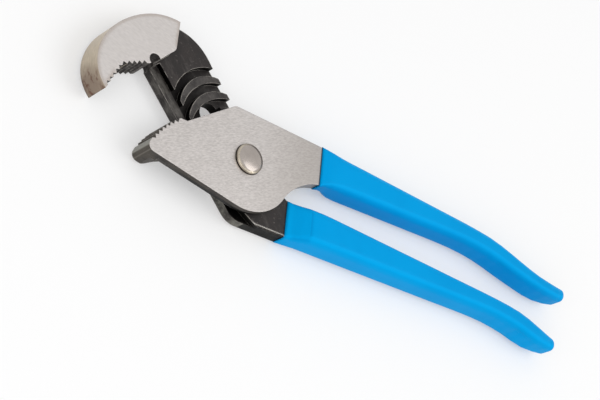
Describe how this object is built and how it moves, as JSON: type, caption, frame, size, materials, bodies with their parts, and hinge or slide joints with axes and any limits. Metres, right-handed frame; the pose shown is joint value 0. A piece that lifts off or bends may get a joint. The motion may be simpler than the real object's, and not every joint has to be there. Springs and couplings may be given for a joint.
{
  "type": "tongue and groove pliers",
  "caption": "Offset water-pump pliers with a hooked parrot-nose jaw, tongue-and-groove slot adjustment, a domed pivot bolt and vinyl-dipped handles.",
  "frame": {"origin": "on the pivot axis, on the back face of the pivot collar, which is the plane the pliers lie on", "axes": "+X along the handles to their ends, +Y from the lower handle to the upper handle, +Z out of the polished front faces along the pivot"},
  "size_m": [0.2422, 0.064, 0.0147],
  "materials": {
    "steel": "forged, ground faces polished, the rest blackened",
    "bolt": "polished",
    "grip": "dipped vinyl, satin"
  },
  "bodies": {
    "arm": {"upper_jaw_arm": "steel", "lower_grip": "grip"},
    "plate": {"lower_jaw_plate": "steel", "upper_grip": "grip", "pivot_bolt": "bolt", "pivot_collar": "steel"}
  },
  "joints": [
    {"name": "pivot", "type": "hinge", "parent": "arm", "child": "plate", "pos_m": [0, 0, 0.0064], "axis": [0, 0, 1], "range_deg": [-2.5, 62]}
  ]
}
